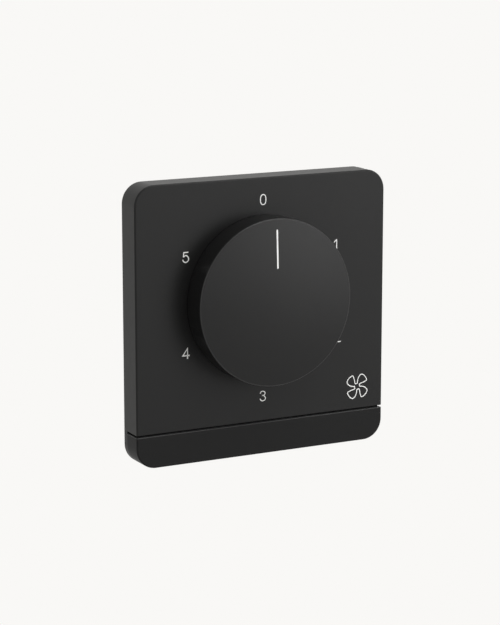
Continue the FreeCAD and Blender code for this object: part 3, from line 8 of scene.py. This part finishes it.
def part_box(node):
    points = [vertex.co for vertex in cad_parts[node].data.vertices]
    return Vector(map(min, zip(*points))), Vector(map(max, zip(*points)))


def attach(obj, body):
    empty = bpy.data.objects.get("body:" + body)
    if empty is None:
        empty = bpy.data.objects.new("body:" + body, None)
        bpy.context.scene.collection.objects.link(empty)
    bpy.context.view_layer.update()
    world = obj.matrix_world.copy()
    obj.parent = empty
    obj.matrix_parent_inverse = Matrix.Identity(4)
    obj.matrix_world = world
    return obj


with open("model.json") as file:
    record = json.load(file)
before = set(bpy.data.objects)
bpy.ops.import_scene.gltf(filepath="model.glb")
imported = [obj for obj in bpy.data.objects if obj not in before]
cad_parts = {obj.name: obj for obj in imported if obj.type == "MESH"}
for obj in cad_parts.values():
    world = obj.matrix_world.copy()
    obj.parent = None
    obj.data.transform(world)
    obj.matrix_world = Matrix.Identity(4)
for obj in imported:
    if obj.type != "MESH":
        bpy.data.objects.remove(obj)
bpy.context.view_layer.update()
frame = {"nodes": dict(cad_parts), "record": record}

# Looks of the fan speed switch: procedural materials for every CAD node, the printed
# numerals and the fan pictogram, and the studio with its camera.

MM = 0.001


# Node graphs

# Spans of noise values over which a tone or a finish changes
WIDE = (0.25, 0.75)
NARROW = (0.3, 0.7)


class Graph:
    """A small helper that builds one material's node graph."""

    def __init__(self, name):
        self.material = bpy.data.materials.new(name)
        self.material.use_nodes = True
        self.tree = self.material.node_tree
        self.tree.nodes.clear()
        output = self.add("ShaderNodeOutputMaterial")
        self.shader = self.add("ShaderNodeBsdfPrincipled")
        self.link(self.shader, "BSDF", output, "Surface")
        self.place = self.add("ShaderNodeTexCoord")

    def add(self, kind):
        return self.tree.nodes.new(kind)

    def link(self, source, out, target, into):
        self.tree.links.new(source.outputs[out], target.inputs[into])

    def set(self, **values):
        for key, value in values.items():
            self.shader.inputs[key.replace("_", " ")].default_value = value

    def noise(self, size, detail, roughness=0.5, stretch=(1, 1, 1)):
        """Noise whose grain is about size metres across, stretched along the axes."""
        mapping = self.add("ShaderNodeMapping")
        mapping.inputs["Scale"].default_value = [1 / value for value in stretch]
        self.link(self.place, "Object", mapping, "Vector")
        node = self.add("ShaderNodeTexNoise")
        node.inputs["Scale"].default_value = 1 / size
        node.inputs["Detail"].default_value = detail
        node.inputs["Roughness"].default_value = roughness
        self.link(mapping, "Vector", node, "Vector")
        return node, "Fac"

    def ramp(self, source, span, dark, light):
        """A colour that goes from dark to light over a span of noise values."""
        node = self.add("ShaderNodeValToRGB")
        for element, position, colour in zip(node.color_ramp.elements, span, (dark, light)):
            element.position = position
            element.color = (*colour, 1)
        self.link(*source, node, "Fac")
        return node, "Color"

    def scale(self, source, low, high):
        """A number that goes from low to high over the narrow span of noise values."""
        node = self.add("ShaderNodeMapRange")
        for name, value in zip(("From Min", "From Max", "To Min", "To Max"),
                               (*NARROW, low, high)):
            node.inputs[name].default_value = value
        self.link(*source, node, "Value")
        return node, "Result"

    def halved(self, first, second):
        """Half of one colour and half of another."""
        node = self.add("ShaderNodeMix")
        node.data_type = "RGBA"
        node.inputs["Factor"].default_value = 0.5
        self.link(*first, node, "A")
        self.link(*second, node, "B")
        return node, "Result"

    def bump(self, source, depth, strength, below=None):
        """Relief of the given depth in metres, on top of any relief below it."""
        node = self.add("ShaderNodeBump")
        node.inputs["Strength"].default_value = strength
        node.inputs["Distance"].default_value = depth
        self.link(*source, node, "Height")
        if below:
            self.link(*below, node, "Normal")
        return node, "Normal"

    def banded(self, source, axis, low, high, colour):
        """The source, with a plain colour between two levels in metres along an axis."""
        axes = self.add("ShaderNodeSeparateXYZ")
        self.link(self.place, "Object", axes, "Vector")
        within = self.add("ShaderNodeMath")
        within.operation = "COMPARE"
        within.inputs[1].default_value = (low + high) / 2
        within.inputs[2].default_value = (high - low) / 2
        self.link(axes, axis, within, 0)
        node = self.add("ShaderNodeMix")
        node.data_type = "RGBA"
        node.inputs["B"].default_value = (*colour, 1)
        self.link(within, "Value", node, "Factor")
        self.link(*source, node, "A")
        return node, "Result"

    def feed(self, source, into):
        self.link(*source, self.shader, into)


def shade(colour, factor):
    return tuple(min(1.0, channel * factor) for channel in colour)


def linear(level):
    """Linear value of a grey level from 0 to 255."""
    level /= 255
    return level / 12.92 if level <= 0.04045 else ((level + 0.055) / 1.055) ** 2.4


def tone(red, green=None, blue=None):
    """Linear colour from display levels from 0 to 255."""
    if green is None:
        green = blue = red
    return linear(red), linear(green), linear(blue)


# Noise in the materials: the clouds of tone in plastic, the waves of its surface, the
# depth of the marks on metal and of the fibres on a laminate
CLOUD_SIZE = 18 * MM
WAVE_SIZE = 6 * MM
MARK_DEPTH = 0.006 * MM
FIBRE_DEPTH = 0.008 * MM

# Metal and laminate: darkest and lightest share of the colour, and the roughness
DARK_SHARE = 0.86
LIGHT_SHARE = 1.1
METAL_ROUGH = (0.2, 0.34)
LAMINATE_ROUGH = (0.45, 0.6)


def plastic(name, colour, rough=(0.42, 0.5), relief=0.008 * MM, specular=0.4, cloud=0.05,
            speck=0.06, painted_light_bands=()):
    """Moulded plastic: faint clouds of tone, a fine grain and a satin finish.

    Each band is an axis, its two levels along it, a plain colour that paints a highlight
    or shade there, and a roughness.
    """
    grain = 0.35 * MM
    g = Graph(name)
    clouds = g.ramp(g.noise(CLOUD_SIZE, detail=2), WIDE, shade(colour, 1 - cloud),
                    shade(colour, 1 + cloud))
    grains = g.ramp(g.noise(grain, detail=4, roughness=0.6), NARROW, shade(colour, 1 - speck),
                    shade(colour, 1 + speck))
    tint = g.halved(clouds, grains)
    finish = g.scale(g.noise(grain * 6, detail=3), *rough)
    for axis, low, high, painted_light_colour, band_rough in painted_light_bands:
        tint = g.banded(tint, axis, low, high, painted_light_colour)
        finish = g.banded(finish, axis, low, high, (band_rough,) * 3)
    g.feed(tint, "Base Color")
    g.feed(finish, "Roughness")
    fine = g.bump(g.noise(grain, detail=4, roughness=0.6), relief, strength=0.6)
    waves = g.bump(g.noise(WAVE_SIZE, detail=2), relief * 1.5, strength=0.3, below=fine)
    g.feed(waves, "Normal")
    g.set(Specular_IOR_Level=specular)
    return g.material


def metal(name, colour, stretch=(1, 1, 1)):
    """Machined or stamped metal with fine marks along the stretched axis."""
    grain = 0.3 * MM
    g = Graph(name)
    marks = g.noise(grain, detail=5, roughness=0.6, stretch=stretch)
    g.feed(g.ramp(marks, WIDE, shade(colour, DARK_SHARE), shade(colour, LIGHT_SHARE)),
           "Base Color")
    g.feed(g.scale(g.noise(grain * 8, detail=3), *METAL_ROUGH), "Roughness")
    g.feed(g.bump(marks, MARK_DEPTH, strength=0.6), "Normal")
    g.set(Metallic=1)
    return g.material


def laminate(name, colour):
    """Board or wafer stock: a crossed fibre pattern under a dull resin."""
    fibre = 0.9 * MM
    g = Graph(name)
    along, across = (g.ramp(g.noise(fibre, detail=3, roughness=0.6, stretch=stretch), NARROW,
                            shade(colour, DARK_SHARE), shade(colour, LIGHT_SHARE))
                     for stretch in ((6, 1, 1), (1, 1, 6)))
    g.feed(g.halved(along, across), "Base Color")
    g.feed(g.scale(g.noise(fibre * 3, detail=3), *LAMINATE_ROUGH), "Roughness")
    g.feed(g.bump(g.noise(fibre * 0.4, detail=4), FIBRE_DEPTH, strength=0.5), "Normal")
    return g.material


BLACK = (0.011, 0.011, 0.011)
WHITE_INK = tone(240, 240, 238)
POINTER_WHITE = tone(245, 245, 243)

# Levels in the object's frame where light and shade are painted into the colour: a painted
# highlight on the strip's upper edge, painted shade on its tongue in the groove, and a painted
# highlight on the knob's front edge
STRIP_PAINTED_HIGHLIGHT = ("Z", -33.97 * MM, -33.65 * MM)
TONGUE_PAINTED_SHADE = ("Z", -33.65 * MM, -33 * MM)
KNOB_PAINTED_HIGHLIGHT = ("Y", -18.46 * MM, -18.2 * MM)

MATERIALS = {
    "plate_plastic": plastic("plate_plastic", BLACK, rough=(0.38, 0.41), relief=0.002 * MM,
                             specular=0.16, speck=0.12),
    "strip_plastic": plastic("strip_plastic", BLACK, rough=(0.47, 0.5), relief=0.002 * MM,
                             specular=0.1, speck=0.12,
                             # The strip's upper edge: a lighter colour as a painted highlight, and
                             # a real lower roughness
                             painted_light_bands=((*STRIP_PAINTED_HIGHLIGHT, shade(BLACK, 4), 0.35),
                                    # The tongue in the groove: a darker colour as painted shade,
                                    # and a real high roughness
                                    (*TONGUE_PAINTED_SHADE, shade(BLACK, 0.5), 0.95))),
    "knob_plastic": plastic("knob_plastic", BLACK, rough=(0.29, 0.32), relief=0.002 * MM,
                            specular=0.18, speck=0.12,
                            # The knob's front edge: a lighter colour as a painted highlight
                            painted_light_bands=((*KNOB_PAINTED_HIGHLIGHT, shade(BLACK, 3), 0.3),)),
    "pointer_white": plastic("pointer_white", POINTER_WHITE, rough=(0.4, 0.46), cloud=0.02,
                             speck=0.03, specular=0.3),
    "frame_plastic": plastic("frame_plastic", tone(208, 205, 198), rough=(0.5, 0.6)),
    "housing_plastic": plastic("housing_plastic", tone(30), rough=(0.52, 0.56), relief=0.005 * MM),
    "rear_cover_plastic": plastic("rear_cover_plastic", tone(33), rough=(0.54, 0.58),
                                  relief=0.005 * MM),
    "switch_plastic": plastic("switch_plastic", tone(48, 38, 32), rough=(0.35, 0.45)),
    "rotor_plastic": plastic("rotor_plastic", tone(226, 222, 208), rough=(0.4, 0.5)),
    "terminal_plastic": plastic("terminal_plastic", tone(222, 219, 210), rough=(0.45, 0.55)),
    "capacitor_case": plastic("capacitor_case", tone(205, 196, 165), rough=(0.18, 0.28),
                              specular=0.5),
    "resistor_coat": plastic("resistor_coat", tone(200, 170, 126), rough=(0.25, 0.35)),
    "zinc_screw": metal("zinc_screw", tone(196, 198, 202)),
    "terminal_steel": metal("terminal_steel", tone(196, 198, 202)),
    "spring_steel": metal("spring_steel", tone(176, 177, 180), stretch=(8, 1, 1)),
    "washer_steel": metal("washer_steel", tone(184, 185, 188)),
    "shaft_metal": metal("shaft_metal", tone(206, 207, 209)),
    "bushing_metal": metal("bushing_metal", tone(200, 194, 180)),
    "nut_metal": metal("nut_metal", tone(200, 194, 180)),
    "contact_bronze": metal("contact_bronze", tone(204, 150, 96)),
    "contact_brass": metal("contact_brass", tone(214, 182, 104)),
    "wafer_laminate": laminate("wafer_laminate", tone(134, 92, 52)),
    "board_laminate": laminate("board_laminate", tone(160, 124, 72)),
}

for entry in frame["record"]["subparts"]:
    node = frame["nodes"][entry["node"]]
    node.data.materials.clear()
    node.data.materials.append(MATERIALS[entry["material_slot"]])


# Print on the plate

# Height of the print above the plate, and of each stroke above the one before
PRINT_LIFT = 0.012 * MM
STROKE_LIFT = 0.002 * MM
plate_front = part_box("cover_plate")[0][1]

# Steps between two points of a smooth line, and the least share of a corner's spread
SMOOTH_STEPS = 6
MITRE_LIMIT = 0.6

print_ink = plastic("print_ink", WHITE_INK, rough=(0.45, 0.55), cloud=0.02, speck=0.04)


def smooth_line(points, closed):
    """A smooth line through the given points."""
    count = len(points)
    spans = count if closed else count - 1
    line = []
    for i in range(spans):
        near = [(i + k) % count if closed else min(max(i + k, 0), count - 1)
                for k in (-1, 0, 1, 2)]
        p0, p1, p2, p3 = (Vector(points[k]) for k in near)
        for n in range(SMOOTH_STEPS):
            t = n / SMOOTH_STEPS
            line.append(0.5 * (2 * p1 + (p2 - p0) * t + (2 * p0 - 5 * p1 + 4 * p2 - p3) * t ** 2
                               + (3 * p1 - p0 - 3 * p2 + p3) * t ** 3))
    if not closed:
        line.append(Vector(points[-1]))
    return line


def ribbon(line, width, closed):
    """Left and right points of a flat ribbon along a line, and the faces between them."""
    count = len(line)
    vertices = []
    for i in range(count):
        before = line[i - 1] if closed or i else line[0]
        after = line[(i + 1) % count] if closed or i + 1 < count else line[-1]
        arriving = (line[i] - before).normalized() if line[i] != before else None
        leaving = (after - line[i]).normalized() if after != line[i] else None
        along = ((arriving or leaving) + (leaving or arriving)).normalized()
        spread = max(MITRE_LIMIT, along.dot(leaving or arriving))
        side = Vector((-along.y, along.x)) * width / 2 / spread
        vertices += [line[i] + side, line[i] - side]
    spans = count if closed else count - 1
    faces = [(2 * i, 2 * i + 1, (2 * i + 3) % (2 * count), (2 * i + 2) % (2 * count))
             for i in range(spans)]
    return vertices, faces


def printed(name, strokes, centre, width):
    """A flat print on the plate, from strokes of (x, z) points in millimetres."""
    vertices, faces = [], []
    for number, (line, closed) in enumerate(strokes):
        points, quads = ribbon(line, width, closed)
        first = len(vertices)
        y = plate_front - PRINT_LIFT - STROKE_LIFT * number
        vertices += [((centre[0] + p.x) * MM, y, (centre[1] + p.y) * MM) for p in points]
        faces += [tuple(first + n for n in quad) for quad in quads]
    mesh = bpy.data.meshes.new(name)
    mesh.from_pydata(vertices, [], faces)
    mesh.materials.append(print_ink)
    piece = bpy.data.objects.new(name, mesh)
    bpy.context.collection.objects.link(piece)
    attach(piece, "base")


# The fan pictogram: one blade from its left root round the tip to its right root and on to
# the hub, the middle and line width of the print, and how much narrower than high it is
BLADE = [(0.08, 1.05), (0.15, 1.8), (0.4, 2.62), (0.86, 3.35), (1.6, 3.84), (2.4, 3.58),
         (3.08, 2.92), (3.54, 2.18), (3.6, 1.72), (3.32, 1.5), (2.55, 1.2), (1.7, 0.99),
         (0.88, 0.7), (0.96, 0.3)]
FAN_CENTRE = (34.29, -25.9)
FAN_LINE = 0.3
FAN_NARROWING = 0.965

# Points round an oval, and the power that straightens its sides
OVAL_STEPS = 40
OVAL_POWER = 0.86


def fan_pictogram():
    outline = []
    for quarter in range(4):
        turn = Matrix.Rotation(-math.pi / 2 * quarter, 2)
        outline += [turn @ Vector(point) for point in BLADE]
    outline = [Vector((point.x * FAN_NARROWING, point.y)) for point in outline]
    printed("fan_pictogram", [(smooth_line(outline, True), True)], FAN_CENTRE, FAN_LINE)


def straight(*points):
    return [Vector(point) for point in points], False


def curved(*points):
    return smooth_line(points, False), False


def oval(half_width, half_height):
    """A rounded oval whose sides are a little straighter than an ellipse's."""
    line = []
    for n in range(OVAL_STEPS):
        angle = 2 * math.pi * n / OVAL_STEPS
        c, s = math.cos(angle), math.sin(angle)
        line.append(Vector((math.copysign(abs(c) ** OVAL_POWER, c) * half_width,
                            math.copysign(abs(s) ** OVAL_POWER, s) * half_height)))
    return line, True


# The numerals round the knob: the middle of each one, its line width and its strokes
NUMERALS = {
    "0": ((0.07, 36.97), 0.31, [oval(0.95, 1.57)]),
    "1": ((25.85, 21.3), 0.32, [straight((0.45, -1.75), (0.45, 1.27)),
                                straight((0.48, 1.21), (-0.5, 0.33))]),
    "2": ((26.8, -8.97), 0.28, [curved((-0.94, 0.85), (-0.64, 1.4), (0.02, 1.57), (0.72, 1.26),
                                       (0.89, 0.68), (0.51, -0.05), (-0.89, -1.48)),
                                straight((-1.02, -1.55), (1.25, -1.55))]),
    "3": ((0, -25.22), 0.27, [curved((-0.88, 0.85), (-0.59, 1.38), (0.02, 1.56), (0.68, 1.24),
                                     (0.81, 0.72), (0.49, 0.27), (-0.16, 0.18), (0.56, -0.05),
                                     (0.94, -0.76), (0.7, -1.34), (-0.05, -1.56), (-0.7, -1.27),
                                     (-0.94, -0.76))]),
    "4": ((-26.61, -8.88), 0.45, [straight((0.46, -1.65), (0.46, 1.62), (-1.17, -0.64),
                                           (1.17, -0.64))]),
    "5": ((-26.58, 21.08), 0.35, [straight((0.88, 1.53), (-0.62, 1.51), (-0.8, 0.09)),
                                  curved((-0.8, 0.09), (-0.08, 0.57), (0.64, 0.24),
                                         (0.98, -0.52), (0.7, -1.25), (-0.08, -1.55),
                                         (-0.78, -1.18), (-1, -0.64))]),
}

fan_pictogram()
for text, (centre, width, strokes) in NUMERALS.items():
    printed(f"numeral_{text}", strokes, centre, width)


# Studio

BACKGROUND = (*tone(249, 248, 246), 1)
AMBIENT = 0.25
FLOOR_HEIGHT = -0.35
FLOOR_SIZE = 6

# Lamps that face the origin: name, place, width, height and power
LAMPS = [
    ("right_light", (0.7, -0.8, 0.35), 0.5, 0.5, 2.8),
    ("low_right_light", (0.7, -0.8, 0.05), 0.5, 0.5, 2),
    ("low_front_light", (0.45, -0.95, 0.05), 0.35, 0.35, 0.7),
    ("high_front_light", (0.35, -0.5, 0.9), 0.5, 0.5, 4),
    ("top_light", (0.05, -0.1, 0.9), 0.6, 0.6, 2.4),
    ("left_light", (-0.9, -0.1, 0.25), 0.5, 0.5, 1),
    ("rear_light", (0.5, 1, -0.15), 0.5, 0.3, 11),
]

# The photograph's viewpoint, from the left and a little above, in degrees and millimetres,
# with its focal length and height in pixels
CAMERA_AZIMUTH = 27.679
CAMERA_ELEVATION = 11.468
CAMERA_PLACE = (-310.23, -592.22, 135.43)
FOCAL_PIXELS = 2164.894
HEIGHT_PIXELS = 625
SENSOR = 36


def seen_directly(tree):
    """One where a ray comes straight from the camera, a mirror or a pane of glass."""
    path = tree.nodes.new("ShaderNodeLightPath")
    seen = path.outputs["Is Camera Ray"]
    for kind in ("Is Glossy Ray", "Is Transmission Ray"):
        either = tree.nodes.new("ShaderNodeMath")
        either.operation = "MAXIMUM"
        tree.links.new(seen, either.inputs[0])
        tree.links.new(path.outputs[kind], either.inputs[1])
        seen = either.outputs[0]
    return seen


def backdrop(tree, output_kind, lit_kind, shown_kind):
    """The background's plain colour where it is seen directly, and a lit shader elsewhere."""
    tree.nodes.clear()
    output = tree.nodes.new(output_kind)
    mix = tree.nodes.new("ShaderNodeMixShader")
    lit = tree.nodes.new(lit_kind)
    shown = tree.nodes.new(shown_kind)
    shown.inputs["Color"].default_value = BACKGROUND
    shown.inputs["Strength"].default_value = 1
    tree.links.new(seen_directly(tree), mix.inputs["Fac"])
    tree.links.new(lit.outputs[0], mix.inputs[1])
    tree.links.new(shown.outputs[0], mix.inputs[2])
    tree.links.new(mix.outputs[0], output.inputs["Surface"])
    return lit


def build_world():
    world = bpy.data.worlds.new("studio")
    bpy.context.scene.world = world
    world.use_nodes = True
    fill = backdrop(world.node_tree, "ShaderNodeOutputWorld", "ShaderNodeBackground",
                    "ShaderNodeBackground")
    fill.inputs["Color"].default_value = (1, 1, 1, 1)
    fill.inputs["Strength"].default_value = AMBIENT


def build_floor():
    material = bpy.data.materials.new("floor")
    material.use_nodes = True
    matt = backdrop(material.node_tree, "ShaderNodeOutputMaterial", "ShaderNodeBsdfDiffuse",
                    "ShaderNodeEmission")
    matt.inputs["Color"].default_value = BACKGROUND
    half = FLOOR_SIZE / 2
    corners = [(-half, -half), (half, -half), (half, half), (-half, half)]
    mesh = bpy.data.meshes.new("floor")
    mesh.from_pydata([(x, y, FLOOR_HEIGHT) for x, y in corners], [], [(0, 1, 2, 3)])
    mesh.materials.append(material)
    floor = bpy.data.objects.new("floor", mesh)
    bpy.context.collection.objects.link(floor)


def softbox(name, place, width, height, power):
    light = bpy.data.lights.new(name, "AREA")
    light.shape = "RECTANGLE"
    light.size = width
    light.size_y = height
    light.energy = power
    lamp = bpy.data.objects.new(name, light)
    lamp.location = place
    lamp.rotation_euler = (-Vector(place)).to_track_quat("-Z", "Y").to_euler()
    bpy.context.collection.objects.link(lamp)


def build_camera():
    azimuth = math.radians(CAMERA_AZIMUTH)
    elevation = math.radians(CAMERA_ELEVATION)
    forward = Vector((math.sin(azimuth) * math.cos(elevation),
                      math.cos(azimuth) * math.cos(elevation), -math.sin(elevation)))
    right = Vector((math.cos(azimuth), -math.sin(azimuth), 0))
    up = right.cross(forward)
    camera = bpy.data.cameras.new("camera")
    camera.sensor_width = SENSOR
    camera.lens = FOCAL_PIXELS * SENSOR / HEIGHT_PIXELS
    camera.clip_start = 0.01
    camera.clip_end = 20
    viewer = bpy.data.objects.new("camera", camera)
    turn = Matrix((right, up, -forward)).transposed().to_4x4()
    viewer.matrix_world = Matrix.Translation(Vector(CAMERA_PLACE) * MM) @ turn
    bpy.context.collection.objects.link(viewer)
    bpy.context.scene.camera = viewer


build_world()
build_floor()
for lamp in LAMPS:
    softbox(*lamp)
build_camera()
bpy.context.scene.view_settings.view_transform = "Standard"
